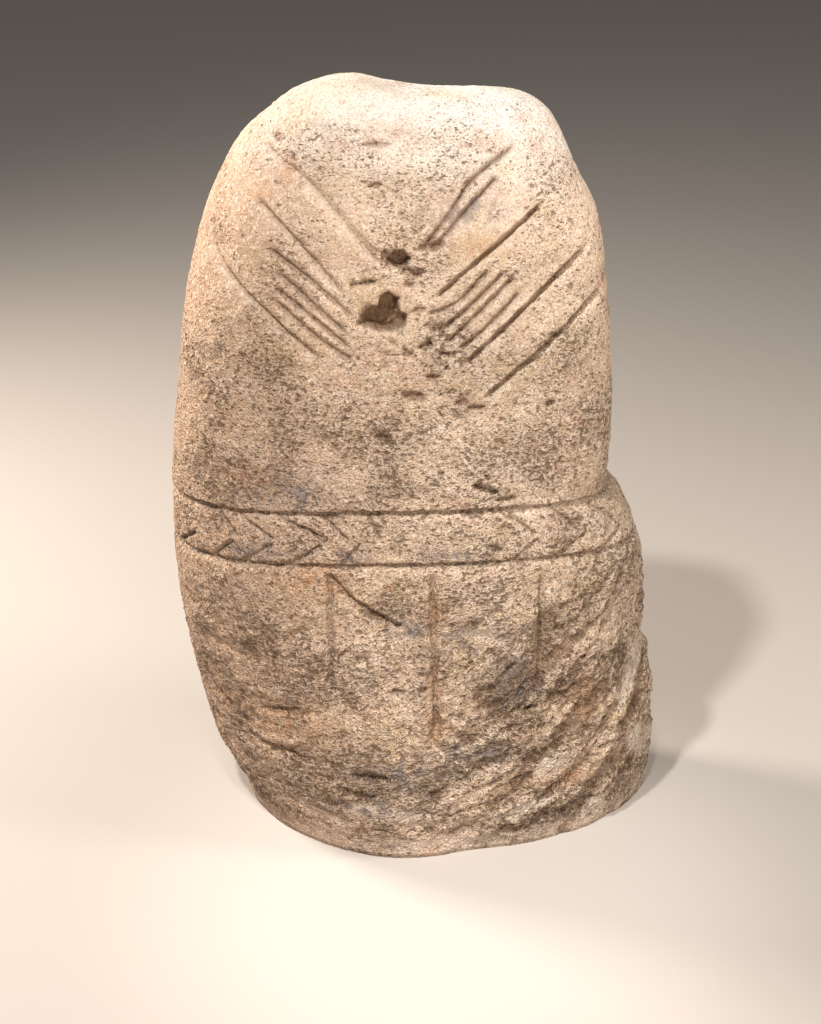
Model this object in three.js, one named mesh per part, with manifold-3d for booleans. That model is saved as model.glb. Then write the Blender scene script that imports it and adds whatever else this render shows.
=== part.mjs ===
// A statue menhir: one slab of sandstone, dressed to a rounded outline and carved on its
// front face with two arms and hands, a belt of chevrons and two legs.
// Millimetres, +Z up, front face towards -Y, origin at the middle of the flat underside.
import * as THREE from "three";
import { mergeVertices } from "three/addons/utils/BufferGeometryUtils.js";
import Module from "manifold-3d";

// Driving sizes of the slab
const HEIGHT = 1100;
const WIDTH = 723;
const FRONT_DEPTH = 240;
const BACK_DEPTH = 150;
// The top dips this far between its two shoulders
const CROWN_SAG = 11;

// Outline seen from the front, from the ground up to the middle of the top:
// [share of WIDTH from the centre line, share of HEIGHT]
const LEFT_FLANK = [
  [-0.366, 0], [-0.379, 0.03], [-0.427, 0.098], [-0.467, 0.205], [-0.489, 0.3],
  [-0.5, 0.4], [-0.491, 0.52], [-0.466, 0.653], [-0.438, 0.764], [-0.392, 0.859],
  [-0.334, 0.926], [-0.248, 0.975], [-0.183, 0.994], [-0.13, 1], [-0.07, 0.994], [0.009, 0.984],
];
const RIGHT_FLANK = [
  [0.497, 0], [0.498, 0.093], [0.494, 0.15], [0.485, 0.21], [0.469, 0.27], [0.46, 0.369],
  [0.441, 0.41], [0.41, 0.453], [0.379, 0.478], [0.382, 0.509], [0.385, 0.577],
  [0.377, 0.649], [0.371, 0.714], [0.359, 0.768], [0.336, 0.84], [0.306, 0.877],
  [0.274, 0.924], [0.245, 0.957], [0.207, 0.975], [0.145, 0.984], [0.064, 0.984], [0.009, 0.985],
];

// Level sections: [place along the flank, share of FRONT_DEPTH, share of BACK_DEPTH,
// squareness of the left front corner, squareness of the right front corner], where a
// squareness of 2 is an ellipse and more is squarer
const SECTIONS = [
  [0, 0.955, 0.8, 1.8, 1.75], [0.06, 0.99, 0.92, 1.9, 1.9], [0.15, 0.97, 0.99, 2, 2.1],
  [0.3, 0.86, 1, 2.2, 2.4], [0.45, 0.76, 0.95, 2.3, 2.9], [0.6, 0.69, 0.87, 2.3, 3],
  [0.7, 0.63, 0.79, 2.3, 2.9], [0.78, 0.56, 0.68, 2.3, 2.7], [0.84, 0.47, 0.55, 2.3, 2.5],
  [0.88, 0.38, 0.41, 2.2, 2.3], [0.92, 0.26, 0.24, 2.1, 2.2], [0.96, 0.13, 0.1, 2, 2.1],
  [1, 0, 0, 2, 2],
];
const BACK_SQUARENESS = 2.5;
// The nearest point of the front face lies this share of the half width left of the middle
const FRONT_SKEW = 0.2;

// Broad worn hollows of the front: [share of WIDTH, share of HEIGHT, reach along x as a share of
// WIDTH, reach along z as a share of HEIGHT, share of the front depth that is worn away]
const HOLLOWS = [
  [0, 0.7, 0.07, 0.07, 0.035],
  [0.12, 0, 0.08, 0.08, 0.05],
  [0.45, 0.27, 0.05, 0.07, 0.22],
  [-0.05, 0.35, 0.07, 0.05, 0.025],
];

// Grooves by kind: width between the lips and depth
const ARM_GROOVE = { width: 15, depth: 7 };
const SOFT_GROOVE = { width: 18, depth: 4.5 };
const FINGER_GROOVE = { width: 11, depth: 5 };
const BELT_GROOVE = { width: 14, depth: 6 };
const CHEVRON_GROOVE = { width: 8, depth: 3.5 };
const LEG_GROOVE = { width: 16, depth: 4 };
const CRACK = { width: 9, depth: 5 };

// Lines of the front, each through a few points: [share of WIDTH, share of HEIGHT]
const FRONT_LINES = [
  // arm and hand on the left: upper edges, four finger lines, lower edge
  [SOFT_GROOVE, [[-0.278, 0.934], [-0.185, 0.887], [-0.074, 0.804]]],
  [ARM_GROOVE, [[-0.292, 0.871], [-0.213, 0.82], [-0.141, 0.768]]],
  [FINGER_GROOVE, [[-0.276, 0.816], [-0.194, 0.779], [-0.118, 0.736]]],
  [FINGER_GROOVE, [[-0.259, 0.788], [-0.2, 0.756], [-0.131, 0.717]]],
  [FINGER_GROOVE, [[-0.265, 0.77], [-0.195, 0.736], [-0.128, 0.7]]],
  [FINGER_GROOVE, [[-0.267, 0.755], [-0.19, 0.714], [-0.119, 0.681]]],
  [ARM_GROOVE, [[-0.383, 0.845], [-0.376, 0.802], [-0.268, 0.731], [-0.175, 0.681]]],
  // arm and hand on the right: upper edges, four finger lines, lower edges
  [FINGER_GROOVE, [[0.177, 0.932], [0.102, 0.9], [0.056, 0.859], [0.006, 0.818]]],
  [ARM_GROOVE, [[0.144, 0.9], [0.083, 0.86], [0.02, 0.813]]],
  [ARM_GROOVE, [[0.227, 0.865], [0.135, 0.817], [0.027, 0.757]]],
  [FINGER_GROOVE, [[0.131, 0.792], [0.07, 0.753], [0.014, 0.737]]],
  [FINGER_GROOVE, [[0.16, 0.79], [0.1, 0.752], [0.041, 0.718]]],
  [FINGER_GROOVE, [[0.178, 0.783], [0.112, 0.741], [0.047, 0.701]]],
  [FINGER_GROOVE, [[0.187, 0.763], [0.122, 0.72], [0.073, 0.694]]],
  [ARM_GROOVE, [[0.311, 0.809], [0.194, 0.742], [0.079, 0.673]]],
  [ARM_GROOVE, [[0.347, 0.754], [0.234, 0.693], [0.119, 0.632]]],
  // legs: the line between them and their outer edges
  [LEG_GROOVE, [[-0.169, 0.415], [-0.171, 0.334], [-0.172, 0.253]]],
  [LEG_GROOVE, [[0.027, 0.415], [0.031, 0.3], [0.038, 0.184]]],
  [LEG_GROOVE, [[0.239, 0.4], [0.242, 0.318], [0.244, 0.238]]],
  // natural crack below the belt
  [CRACK, [[-0.177, 0.412], [-0.118, 0.373], [-0.05, 0.343], [-0.025, 0.336]]],
];

// The belt between its two lines, which droop a little at the flanks
const BELT_LOWER = 0.42 * HEIGHT;
const BELT_UPPER = 0.487 * HEIGHT;
const BELT_DROOP = 16;
// Slanting strokes of the belt, [from, to] in degrees round the stone: the right flank is 0, the
// front 90 and the left flank 180. Upper strokes fall and lower strokes rise towards the middle.
const UPPER_STROKES = [
  [166, 157], [153, 147], [148, 138], [139, 123], [126, 117], [111, 105], [54, 45], [38, 32], [25, 17],
];
const LOWER_STROKES = [
  [167, 159], [154, 148], [146, 138], [134, 125], [119, 113], [54, 44], [41, 29], [27, 15],
];
// Height that a stroke crosses
const STROKE_RISE = 31;

// Weathered holes: place [share of WIDTH, share of HEIGHT], half width, half height and depth
const HOLES = [
  { at: [-0.041, 0.808], halfWidth: 17, halfHeight: 14, depth: 14 },
  { at: [-0.063, 0.746], halfWidth: 32, halfHeight: 24, depth: 20 },
  { at: [-0.064, 0.601], halfWidth: 12, halfHeight: 8, depth: 8 },
  { at: [-0.01, 0.649], halfWidth: 15, halfHeight: 9, depth: 9 },
];

// Fineness of the slab's faces and of the lines cut into it
const RINGS = 34;
const AROUND_FRONT = 34;
const AROUND_BACK = 16;
const LINE_STEPS = 7;
const BELT_STEPS = 60;
const STROKE_STEPS = 3;
// How far a cutter stands out of the surface
const CUTTER_RISE = 6;
// Depth of a line at its ends, as a share of its full depth
const END_DEPTH = 0.35;

const { lerp, smoothstep, degToRad } = THREE.MathUtils;

// A curve in the plane y = 0 through points given as [share of WIDTH, share of HEIGHT].
const curveThrough = (points) =>
  new THREE.CatmullRomCurve3(
    points.map(([x, z]) => new THREE.Vector3(x * WIDTH, 0, z * HEIGHT)),
    false,
    "centripetal",
  );
const leftFlank = curveThrough(LEFT_FLANK);
const rightFlank = curveThrough(RIGHT_FLANK);

// A level section at any place along the flank, between the rows of SECTIONS.
function sectionAt(along) {
  const above = Math.max(1, SECTIONS.findIndex(([place]) => place >= along));
  const [low, high] = [SECTIONS[above - 1], SECTIONS[above]];
  const t = smoothstep(along, low[0], high[0]);
  const [, front, back, leftSquareness, rightSquareness] = low.map((value, i) =>
    lerp(value, high[i], t),
  );
  return { front, back, leftSquareness, rightSquareness };
}

// The share of the front depth that the hollows leave at a point of the front.
function unworn({ x, z }) {
  return HOLLOWS.reduce((left, [atX, atZ, reachX, reachZ, worn]) => {
    const distance = Math.hypot((x / WIDTH - atX) / reachX, (z / HEIGHT - atZ) / reachZ);
    return left - worn * Math.exp(-distance * distance);
  }, 1);
}

// A point of the smooth slab. along runs from the ground, 0, to the middle of the top, 1;
// turn runs from the right flank, 0, over the front to the left flank, 0.5, and round the back.
function slabPoint(along, turn) {
  const section = sectionAt(along);
  const across = Math.cos(2 * Math.PI * turn);
  const p = leftFlank.getPointAt(along).lerp(rightFlank.getPointAt(along), (1 + across) / 2);
  const nearCrown = smoothstep(along, 0.82, 0.93) * (1 - smoothstep(along, 0.95, 1));
  p.z -= CROWN_SAG * nearCrown * (1 - across * across);
  const bulge = (share, squareness) => Math.max(0, 1 - share ** squareness) ** (1 / squareness);
  if (turn > 0.5) {
    p.y = BACK_DEPTH * section.back * bulge(Math.abs(across), BACK_SQUARENESS);
  } else if (across > -FRONT_SKEW) {
    const share = (across + FRONT_SKEW) / (1 + FRONT_SKEW);
    p.y = -FRONT_DEPTH * section.front * bulge(share, section.rightSquareness) * unworn(p);
  } else {
    const share = -(across + FRONT_SKEW) / (1 - FRONT_SKEW);
    p.y = -FRONT_DEPTH * section.front * bulge(share, section.leftSquareness) * unworn(p);
  }
  return p;
}

// The turns at which every ring has its points: closer on the front than on the back.
const TURNS = [
  ...Array.from({ length: AROUND_FRONT }, (_, i) => (0.5 * i) / AROUND_FRONT),
  ...Array.from({ length: AROUND_BACK }, (_, i) => 0.5 + (0.5 * i) / AROUND_BACK),
];

// The slab as a closed mesh: rings from the ground up, one point at each end.
function slabGeometry() {
  const positions = [];
  const index = [];
  for (let ring = 0; ring < RINGS; ring += 1) {
    for (const turn of TURNS) positions.push(...slabPoint(ring / RINGS, turn).toArray());
  }
  const count = TURNS.length;
  const foot = positions.length / 3;
  positions.push(0, 0, 0);
  const crown = foot + 1;
  positions.push(...slabPoint(1, 0).toArray());
  for (let i = 0; i < count; i += 1) {
    const j = (i + 1) % count;
    index.push(foot, i, j);
    index.push(crown, (RINGS - 1) * count + j, (RINGS - 1) * count + i);
    for (let ring = 0; ring + 1 < RINGS; ring += 1) {
      const low = ring * count;
      const high = low + count;
      index.push(low + j, low + i, high + i);
      index.push(low + j, high + i, high + j);
    }
  }
  const geometry = new THREE.BufferGeometry();
  geometry.setAttribute("position", new THREE.Float32BufferAttribute(positions, 3));
  geometry.setIndex(index);
  return geometry;
}

const wasm = await Module();
wasm.setup();

function solidOf(geometry) {
  const bare = geometry.clone();
  bare.deleteAttribute("normal");
  bare.deleteAttribute("uv");
  const merged = mergeVertices(bare, 1e-3);
  return new wasm.Manifold(
    new wasm.Mesh({
      numProp: 3,
      vertProperties: new Float32Array(merged.attributes.position.array),
      triVerts: new Uint32Array(merged.index.array),
    }),
  );
}

function geometryOf(solid) {
  const { numProp, vertProperties, triVerts } = solid.getMesh();
  const positions = [];
  for (let i = 0; i < vertProperties.length; i += numProp) {
    positions.push(...vertProperties.subarray(i, i + 3));
  }
  const geometry = new THREE.BufferGeometry();
  geometry.setAttribute("position", new THREE.Float32BufferAttribute(positions, 3));
  geometry.setIndex(Array.from(triVerts));
  geometry.computeVertexNormals();
  return geometry;
}

const bareSlab = slabGeometry();
bareSlab.computeVertexNormals();
const uncarved = new THREE.Mesh(bareSlab);

// The place where a straight look from a point meets the slab: the point and its outward normal.
function placeSeen(from, towards) {
  const look = new THREE.Raycaster(from, towards.clone().sub(from).normalize());
  const [{ point, normal }] = look.intersectObject(uncarved);
  return { point, normal };
}

const placeInFront = (x, z) =>
  placeSeen(new THREE.Vector3(x, -2 * FRONT_DEPTH, z), new THREE.Vector3(x, 0, z));

const placeAround = (degrees, z) => {
  const axis = new THREE.Vector3(0, 0, z);
  const out = new THREE.Vector3(Math.cos(degToRad(degrees)), -Math.sin(degToRad(degrees)), 0);
  return placeSeen(axis.clone().addScaledVector(out, WIDTH), axis);
};

// A V-shaped cutter along places of the surface. An open one gets shallower at its two ends.
function grooveCutter(places, { width, depth }, closed = false) {
  const count = places.length;
  const positions = [];
  const index = [];
  places.forEach(({ point, normal }, i) => {
    const before = places[closed ? (i + count - 1) % count : Math.max(i - 1, 0)].point;
    const after = places[closed ? (i + 1) % count : Math.min(i + 1, count - 1)].point;
    const side = after.clone().sub(before).cross(normal).normalize();
    const isEnd = !closed && (i === 0 || i === count - 1);
    const deep = isEnd ? depth * END_DEPTH : depth;
    const spread = ((width / 2) * (deep + CUTTER_RISE)) / depth;
    const lip = point.clone().addScaledVector(normal, CUTTER_RISE);
    positions.push(...lip.clone().addScaledVector(side, -spread).toArray());
    positions.push(...point.clone().addScaledVector(normal, -deep).toArray());
    positions.push(...lip.clone().addScaledVector(side, spread).toArray());
  });
  for (let i = 0; i < (closed ? count : count - 1); i += 1) {
    for (let corner = 0; corner < 3; corner += 1) {
      const next = (corner + 1) % 3;
      const here = 3 * i;
      const there = 3 * ((i + 1) % count);
      index.push(here + corner, there + corner, there + next);
      index.push(here + corner, there + next, here + next);
    }
  }
  if (!closed) {
    const last = 3 * (count - 1);
    index.push(0, 1, 2);
    index.push(last, last + 2, last + 1);
  }
  const geometry = new THREE.BufferGeometry();
  geometry.setAttribute("position", new THREE.Float32BufferAttribute(positions, 3));
  geometry.setIndex(index);
  return geometry;
}

// A line of the front as a cutter.
function frontLine([groove, points]) {
  const places = curveThrough(points).getSpacedPoints(LINE_STEPS).map(({ x, z }) => placeInFront(x, z));
  return grooveCutter(places, groove);
}

const beltHeight = (level, degrees) => level - BELT_DROOP * Math.cos(degToRad(degrees)) ** 6;

// A line of the belt as a cutter that runs all round the stone.
function beltLine(level) {
  const places = Array.from({ length: BELT_STEPS }, (_, i) => {
    const degrees = (360 * i) / BELT_STEPS;
    return placeAround(degrees, beltHeight(level, degrees));
  });
  return grooveCutter(places, BELT_GROOVE, true);
}

// A slanting stroke of the belt as a cutter, from one line towards the middle.
function beltStroke(level, rise, [from, to]) {
  const places = Array.from({ length: STROKE_STEPS + 1 }, (_, i) => {
    const share = i / STROKE_STEPS;
    const degrees = lerp(from, to, share);
    return placeAround(degrees, beltHeight(level + share * rise, degrees));
  });
  return grooveCutter(places, CHEVRON_GROOVE);
}

// A weathered hole as a cutter.
function holeCutter({ at: [x, z], halfWidth, halfHeight, depth }) {
  const { point } = placeInFront(x * WIDTH, z * HEIGHT);
  const geometry = new THREE.IcosahedronGeometry(1, 1);
  geometry.scale(halfWidth, depth, halfHeight);
  geometry.translate(point.x, point.y, point.z);
  return geometry;
}

const cutters = [
  ...FRONT_LINES.map(frontLine),
  beltLine(BELT_LOWER),
  beltLine(BELT_UPPER),
  ...UPPER_STROKES.map((span) => beltStroke(BELT_UPPER, -STROKE_RISE, span)),
  ...LOWER_STROKES.map((span) => beltStroke(BELT_LOWER, STROKE_RISE, span)),
  ...HOLES.map(holeCutter),
];
const carved = cutters.reduce((solid, cutter) => solid.subtract(solidOf(cutter)), solidOf(bareSlab));

const stone = geometryOf(carved);
stone.computeBoundingBox();
const middle = stone.boundingBox.getCenter(new THREE.Vector3());
stone.translate(-middle.x, -middle.y, 0);

const sandstone = new THREE.MeshStandardMaterial({ color: 0xd2b496, roughness: 0.95, metalness: 0 });

const statueMenhir = new THREE.Group();
const menhir = new THREE.Mesh(stone, sandstone);
menhir.name = "menhir";
statueMenhir.add(menhir);

export default statueMenhir;
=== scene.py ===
# %% [markdown]
# A statue menhir in sandstone. The real object is one block: a slab of coarse sandstone, roughly
# dressed with stone hammers, whose front was pecked with two arms, a belt and two legs, and which
# then stood in the weather for some five thousand years. So this lesson makes one mesh, in the
# same steps as the stone: the slab first, then the carving, then the weather, then its colours.

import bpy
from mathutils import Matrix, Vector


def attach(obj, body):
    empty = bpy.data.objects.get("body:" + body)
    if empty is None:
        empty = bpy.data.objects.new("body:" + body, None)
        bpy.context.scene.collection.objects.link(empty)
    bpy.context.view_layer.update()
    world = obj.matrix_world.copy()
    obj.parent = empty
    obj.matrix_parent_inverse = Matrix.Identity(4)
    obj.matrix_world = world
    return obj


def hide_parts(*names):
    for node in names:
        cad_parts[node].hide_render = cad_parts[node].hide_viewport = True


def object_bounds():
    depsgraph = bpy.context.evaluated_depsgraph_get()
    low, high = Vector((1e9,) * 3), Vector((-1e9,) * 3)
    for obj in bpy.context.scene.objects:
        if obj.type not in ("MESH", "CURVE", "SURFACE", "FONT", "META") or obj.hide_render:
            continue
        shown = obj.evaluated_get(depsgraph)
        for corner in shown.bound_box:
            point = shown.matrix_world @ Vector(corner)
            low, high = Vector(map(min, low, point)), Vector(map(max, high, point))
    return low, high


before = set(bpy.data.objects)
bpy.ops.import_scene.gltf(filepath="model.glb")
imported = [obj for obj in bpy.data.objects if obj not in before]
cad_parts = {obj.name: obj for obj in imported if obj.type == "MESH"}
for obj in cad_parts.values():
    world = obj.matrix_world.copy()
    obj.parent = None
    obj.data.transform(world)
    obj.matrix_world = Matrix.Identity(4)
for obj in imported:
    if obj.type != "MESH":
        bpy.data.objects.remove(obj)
cad_low, cad_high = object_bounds()
print("frame box", tuple(cad_low), tuple(cad_high))

# %% Tools of this lesson
import math

import bmesh
import bpy
import numpy as np
from mathutils import Matrix, Vector, noise
from mathutils.bvhtree import BVHTree

MM = 0.001
print("Blender", bpy.app.version_string)

# %% [markdown]
# The camera stands where a visitor's eyes would be: 1.55 m above the ground, looking down on the
# stone. The lens angle, the tilt and the distance were found by fitting the outline of the stone.
# The frame's origin is the middle of the part's box, and the slab below is drawn from its own
# middle line, which lies BACK_PLACE behind that.

# %% Camera
CAMERA_DISTANCE = 2.6751
CAMERA_TILT = math.radians(24)
CAMERA_TARGET_HEIGHT = 0.4572
CAMERA_LENS = 63.28
CAMERA_ASIDE = -0.0105
BACK_DEPTH = 0.150
BACK_PLACE = cad_high.y - BACK_DEPTH

camera_data = bpy.data.cameras.new("camera")
camera_data.lens = CAMERA_LENS
camera = bpy.data.objects.new("camera", camera_data)
bpy.context.scene.collection.objects.link(camera)
camera.location = (
    CAMERA_ASIDE,
    BACK_PLACE - CAMERA_DISTANCE * math.cos(CAMERA_TILT),
    CAMERA_TARGET_HEIGHT + CAMERA_DISTANCE * math.sin(CAMERA_TILT),
)
camera.rotation_euler = (math.pi / 2 - CAMERA_TILT, 0, 0)
bpy.context.scene.camera = camera
print("camera at", tuple(round(v, 3) for v in camera.location))

# %% [markdown]
# The slab. A sculptor would draw the outline on the block and round it from there. A mesh can be
# made the same way: two outline curves, left and right, run from the ground to the middle of the
# top, and level-by-level sections join them. Sculpting by hand could give the same form, but then
# nothing would be left to change by number.

# %% Outline curves
HEIGHT = 1.100
WIDTH = 0.723
LEFT_FLANK = [
    (-0.366, 0), (-0.379, 0.03), (-0.427, 0.098), (-0.467, 0.205), (-0.489, 0.3),
    (-0.5, 0.4), (-0.491, 0.52), (-0.466, 0.653), (-0.438, 0.764), (-0.392, 0.859),
    (-0.334, 0.926), (-0.248, 0.975), (-0.183, 0.994), (-0.13, 1), (-0.07, 0.994), (0.009, 0.984),
]
RIGHT_FLANK = [
    (0.497, 0), (0.498, 0.093), (0.494, 0.15), (0.485, 0.21), (0.469, 0.27), (0.46, 0.369),
    (0.441, 0.41), (0.41, 0.453), (0.379, 0.478), (0.382, 0.509), (0.385, 0.577),
    (0.377, 0.649), (0.371, 0.714), (0.359, 0.768), (0.336, 0.84), (0.306, 0.877),
    (0.274, 0.924), (0.245, 0.957), (0.207, 0.975), (0.145, 0.984), (0.064, 0.984), (0.009, 0.985),
]


def curve_through(points, steps=60):
    """A centripetal Catmull-Rom curve: its points, and how far along it each one lies, 0 to 1."""
    p = np.array(points) * [WIDTH, HEIGHT]
    p = np.vstack([2 * p[0] - p[1], p, 2 * p[-1] - p[-2]])
    pieces = []
    for p0, p1, p2, p3 in zip(p, p[1:], p[2:], p[3:]):
        gaps = np.linalg.norm([p1 - p0, p2 - p1, p3 - p2], axis=1)
        d0, d1, d2 = np.sqrt(np.maximum(gaps, 1e-9))
        out = ((p1 - p0) / d0 - (p2 - p0) / (d0 + d1) + (p2 - p1) / d1) * d1
        into = ((p2 - p1) / d1 - (p3 - p1) / (d1 + d2) + (p3 - p2) / d2) * d1
        t = np.linspace(0, 1, steps, endpoint=False)[:, None]
        pieces.append(
            (2 * t**3 - 3 * t**2 + 1) * p1 + (t**3 - 2 * t**2 + t) * out
            + (3 * t**2 - 2 * t**3) * p2 + (t**3 - t**2) * into
        )
    curve = np.vstack([*pieces, p[-2:-1]])
    along = np.concatenate([[0], np.cumsum(np.linalg.norm(np.diff(curve, axis=0), axis=1))])
    return curve, along / along[-1]


def curve_at(curve, share):
    """Points of such a curve at shares of its length."""
    points, along = curve
    return np.stack([np.interp(share, along, points[:, i]) for i in (0, 1)], axis=-1)


left_flank = curve_through(LEFT_FLANK)
right_flank = curve_through(RIGHT_FLANK)
print("outline from", left_flank[0][:, 0].min(), "to", right_flank[0][:, 0].max())

# %% [markdown]
# The sections. Each level of the stone is a rounded shape between its two flanks: deep in front,
# shallower and squarer behind. SECTIONS gives, at a share of the way up the flank, how much of the
# full depth the front and the back have there, and how square the left and the right corner are.
# HOLLOWS are broad places that wore away: place, reach, and the share of the depth that is gone.

# %% Level sections
FRONT_DEPTH = 0.240
CROWN_SAG = 0.011
SECTIONS = np.array([
    [0, 0.955, 0.8, 1.8, 1.75], [0.06, 0.99, 0.92, 1.9, 1.9], [0.15, 0.97, 0.99, 2, 2.1],
    [0.3, 0.86, 1, 2.2, 2.4], [0.45, 0.76, 0.95, 2.3, 2.9], [0.6, 0.69, 0.87, 2.3, 3],
    [0.7, 0.63, 0.79, 2.3, 2.9], [0.78, 0.56, 0.68, 2.3, 2.7], [0.84, 0.47, 0.55, 2.3, 2.5],
    [0.88, 0.38, 0.41, 2.2, 2.3], [0.92, 0.26, 0.24, 2.1, 2.2], [0.96, 0.13, 0.1, 2, 2.1],
    [1, 0, 0, 2, 2],
])
BACK_SQUARENESS = 2.5
FRONT_SKEW = 0.2
HOLLOWS = [
    (0, 0.7, 0.07, 0.07, 0.035),
    (0.12, 0, 0.08, 0.08, 0.05),
    (0.45, 0.27, 0.05, 0.07, 0.22),
    (-0.05, 0.35, 0.07, 0.05, 0.025),
]
print(len(SECTIONS), "sections,", len(HOLLOWS), "hollows")

# %% Points of the slab


def smoothstep(x, low, high):
    t = np.clip((x - low) / (high - low), 0, 1)
    return t * t * (3 - 2 * t)


def rounding(share, squareness):
    """Depth across half a section: 1 in the middle, 0 at the corner where share is 1."""
    return np.clip(1 - np.clip(share, 0, 1) ** squareness, 0, 1) ** (1 / squareness)


def section_at(along):
    """Front depth, back depth and the two corners' squareness at places along the flank."""
    above = np.clip(np.searchsorted(SECTIONS[:, 0], along), 1, len(SECTIONS) - 1)
    low, high = SECTIONS[above - 1], SECTIONS[above]
    t = np.clip((along - low[..., 0]) / (high[..., 0] - low[..., 0]), 0, 1)
    t = (t * t * (3 - 2 * t))[..., None]
    return np.moveaxis((low + (high - low) * t)[..., 1:], -1, 0)


def slab_points(along, turn):
    """Points of the smooth slab. turn is 0 at the right flank, 0.5 at the left, then the back."""
    front, back, left_square, right_square = section_at(along)
    across = np.cos(2 * np.pi * turn)
    left, right = curve_at(left_flank, along), curve_at(right_flank, along)
    x, z = np.moveaxis(left + (right - left) * ((1 + across) / 2)[..., None], -1, 0)
    near_crown = smoothstep(along, 0.82, 0.93) * (1 - smoothstep(along, 0.95, 1))
    z = z - CROWN_SAG * near_crown * (1 - across**2)
    unworn = 1 - sum(
        worn * np.exp(-((x / WIDTH - at_x) / reach_x) ** 2 - ((z / HEIGHT - at_z) / reach_z) ** 2)
        for at_x, at_z, reach_x, reach_z, worn in HOLLOWS
    )
    right_part = rounding((across + FRONT_SKEW) / (1 + FRONT_SKEW), right_square)
    left_part = rounding(-(across + FRONT_SKEW) / (1 - FRONT_SKEW), left_square)
    y_front = -FRONT_DEPTH * front * unworn * np.where(across > -FRONT_SKEW, right_part, left_part)
    y_back = BACK_DEPTH * back * rounding(np.abs(across), BACK_SQUARENESS)
    y = np.where(turn > 0.5, y_back, y_front)
    return np.stack([x, y, z], axis=-1)


print("face at mid height:", slab_points(np.array([0.45]), np.array([0.25])).round(3))

# %% [markdown]
# The mesh. A point about every centimetre in front, and every centimetre and a half behind, is
# enough to start with. The points lie in rings, so each ring can be joined to the next with quads,
# and a fan of triangles closes the foot and the crown: a closed skin, as a block of stone has.

# %% Slab mesh
RINGS = 150
AROUND_FRONT = 102
AROUND_BACK = 56


def even_turns(low, high, count, at=0.45):
    """Turns that lie evenly apart on the ring at mid height."""
    turns = np.linspace(low, high, 2000)
    ring = slab_points(np.full_like(turns, at), turns)
    run = np.concatenate([[0], np.cumsum(np.linalg.norm(np.diff(ring, axis=0), axis=1))])
    return np.interp(np.linspace(0, run[-1], count, endpoint=False), run, turns)


turns = np.concatenate([even_turns(0, 0.5, AROUND_FRONT), even_turns(0.5 + 1e-9, 1, AROUND_BACK)])
along_grid, turn_grid = np.meshgrid(np.arange(RINGS) / RINGS, turns, indexing="ij")
grid = slab_points(along_grid, turn_grid).reshape(-1, 3)
crown_point = slab_points(np.array([1.0]), np.array([0.0]))
foot_point = np.array([[0.0, 0.0, 0.0]])


def slab_mesh():
    """The slab as a bmesh: rings of quads, closed by fans at the foot and the crown."""
    bm = bmesh.new()
    verts = [bm.verts.new(p) for p in np.vstack([grid, foot_point, crown_point])]
    count = len(turns)
    foot, crown = verts[-2:]
    for i in range(count):
        j = (i + 1) % count
        bm.faces.new((foot, verts[i], verts[j]))
        top = (RINGS - 1) * count
        bm.faces.new((crown, verts[top + j], verts[top + i]))
        for ring in range(RINGS - 1):
            low, high = ring * count, (ring + 1) * count
            bm.faces.new((verts[low + j], verts[low + i], verts[high + i], verts[high + j]))
    bm.normal_update()
    return bm


stone = slab_mesh()
surface = BVHTree.FromBMesh(stone)
print("slab:", len(stone.faces), "faces")

# %% [markdown]
# The carving. The lines were pecked with a hard pebble and rubbed, so each one is a shallow trough
# with soft lips. Most are cut down from a flat edge: steep above, easing out below. The fingers are
# left standing as round rods between troughs that are alike on both sides. Booleans would need a
# cutter for each line and leave hard edges: here the surface near a path is simply pushed in.
# Each kind of line has its edge, its width above and below the path, its depth, how far its lower
# side was rubbed smooth and given a painted highlight, and how much dirt and painted shade it holds.

# %% Kinds of line
FLAT_EDGED, ROUND_EDGED = "flat edged", "round edged"
LINE_KINDS = {
    "deep": (FLAT_EDGED, 5.5 * MM, 13 * MM, 12 * MM, 0.25, 0.75),
    "arm": (FLAT_EDGED, 7 * MM, 18 * MM, 7.5 * MM, 0.5, 0.35),
    "soft": (FLAT_EDGED, 9 * MM, 19 * MM, 6.5 * MM, 0.5, 0.2),
    "left finger": (ROUND_EDGED, 9 * MM, 10 * MM, 8 * MM, 0.35, 0.5),
    "right finger": (ROUND_EDGED, 9 * MM, 10 * MM, 9.5 * MM, 0.25, 0.75),
    "belt": (FLAT_EDGED, 5 * MM, 13 * MM, 8.5 * MM, 0.25, 0.4),
    "stroke": (FLAT_EDGED, 3.5 * MM, 9 * MM, 6.5 * MM, 0.2, 0.38),
    "leg": (FLAT_EDGED, 8 * MM, 12 * MM, 10 * MM, 0.1, 0.4),
    "crack": (FLAT_EDGED, 3.5 * MM, 14 * MM, 9 * MM, 0, 0.7),
}
print(len(LINE_KINDS), "kinds of line")

# %% [markdown]
# Where the lines run. On the front a line is a curve through a few points, given as shares of the
# width and height. The belt goes all round the stone and dips at the flanks, so its two lines and
# its slanting strokes are given in degrees round the stone's middle line, 90 being the front.

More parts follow.
